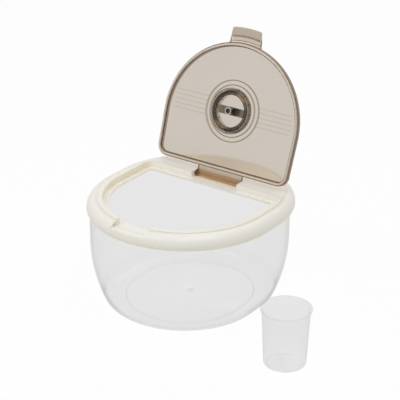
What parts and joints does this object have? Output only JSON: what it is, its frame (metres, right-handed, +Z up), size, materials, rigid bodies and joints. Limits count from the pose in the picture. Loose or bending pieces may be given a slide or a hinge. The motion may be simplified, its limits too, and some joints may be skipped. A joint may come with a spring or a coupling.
{
  "type": "rice bin with flip lid",
  "caption": "Clear oval rice bin with an ivory collar, a hinged smoked flip lid that carries a turning date dial, and a clear measuring cup.",
  "frame": {"origin": "centre of the tub's foot, on the surface that the bin and its cup stand on", "axes": "+Z up, -Y towards the front where the finger tab closes, +X towards the right-hand side, where the measuring cup stands"},
  "size_m": [0.3681, 0.281, 0.339],
  "materials": {
    "tub_clear": "clear, glossy",
    "collar_ivory": "opaque, satin",
    "lid_smoke": "smoked clear, glossy",
    "seal_silicone": "translucent silicone",
    "dial_dark": "dark brown, glossy",
    "o_ring_rubber": "matte",
    "screw_steel": "blackened, satin"
  },
  "bodies": {
    "bin": {"tub": "tub_clear", "collar": "collar_ivory"},
    "lid": {"lid": "lid_smoke", "lid_seal": "seal_silicone"},
    "dial": {"dial_knob": "dial_dark", "dial_o_ring": "o_ring_rubber", "dial_keeper": "dial_dark", "dial_washer": "screw_steel", "dial_screw": "screw_steel"},
    "cup": {"measuring_cup": "tub_clear"}
  },
  "joints": [
    {"name": "lid_hinge", "type": "hinge", "parent": "bin", "child": "lid", "pos_m": [0, 0.0645, 0.1446], "axis": [1, 0, 0], "range_deg": [0, 109]},
    {"name": "dial_turn", "type": "hinge", "parent": "lid", "child": "dial", "pos_m": [0, 0.09471, 0.23234], "axis": [0, 0.9455, -0.3256], "continuous": true},
    {"name": "cup_lift", "type": "slide", "parent": "bin", "child": "cup", "axis": [0, 0, 1], "range_m": [0, 0.1]}
  ]
}
